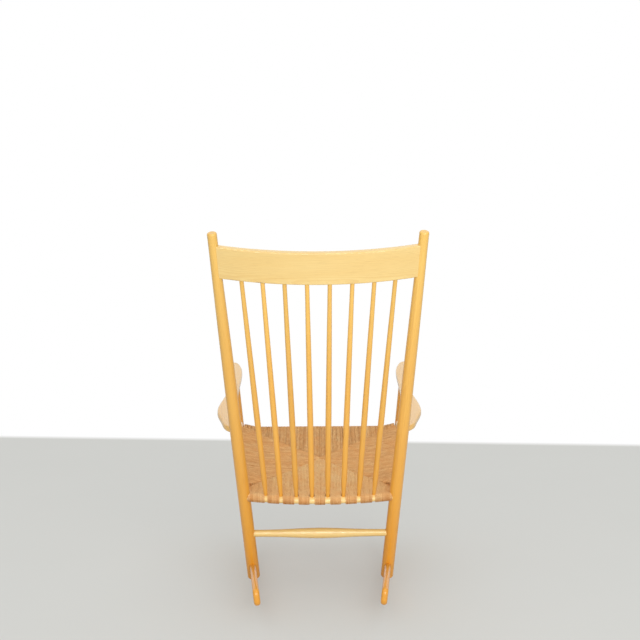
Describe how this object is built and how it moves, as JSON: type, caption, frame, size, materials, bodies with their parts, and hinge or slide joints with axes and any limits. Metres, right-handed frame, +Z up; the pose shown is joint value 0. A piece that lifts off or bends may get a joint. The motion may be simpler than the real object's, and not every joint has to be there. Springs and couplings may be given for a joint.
{
  "type": "rocking chair",
  "caption": "High-backed wooden rocking chair with a fan of turned spindles, a bowed crest rail, S-shaped paddle arms, a woven cord seat and slotted-in rockers.",
  "frame": {"origin": "middle of the chair's overall length and width, at floor level", "axes": "+Z up, -Y the way the sitter faces, +X towards the sitter's left hand; the chair is symmetric about the YZ plane"},
  "size_m": [0.6, 0.9411, 1.0791],
  "materials": {
    "lacquered_wood": "satin",
    "pale_lacquered_wood": "satin",
    "paper_cord": "matte"
  },
  "bodies": {
    "root": {"arm_left": "pale_lacquered_wood", "arm_right": "pale_lacquered_wood", "back_post_left": "lacquered_wood", "back_post_right": "lacquered_wood", "crest_rail": "pale_lacquered_wood", "front_leg_left": "lacquered_wood", "front_leg_right": "lacquered_wood", "rocker_left": "lacquered_wood", "rocker_pin_back_left": "lacquered_wood", "rocker_pin_back_right": "lacquered_wood", "rocker_pin_front_left": "lacquered_wood", "rocker_pin_front_right": "lacquered_wood", "rocker_right": "lacquered_wood", "seat_rail_back": "pale_lacquered_wood", "seat_rail_front": "pale_lacquered_wood", "seat_rail_left": "pale_lacquered_wood", "seat_rail_right": "pale_lacquered_wood", "seat_weave": "paper_cord", "spindle_1": "lacquered_wood", "spindle_2": "lacquered_wood", "spindle_3": "lacquered_wood", "spindle_4": "lacquered_wood", "spindle_5": "lacquered_wood", "spindle_6": "lacquered_wood", "spindle_7": "lacquered_wood", "spindle_8": "lacquered_wood", "stretcher_back": "pale_lacquered_wood", "stretcher_front": "pale_lacquered_wood", "stretcher_left": "pale_lacquered_wood", "stretcher_right": "pale_lacquered_wood"}
  },
  "joints": []
}
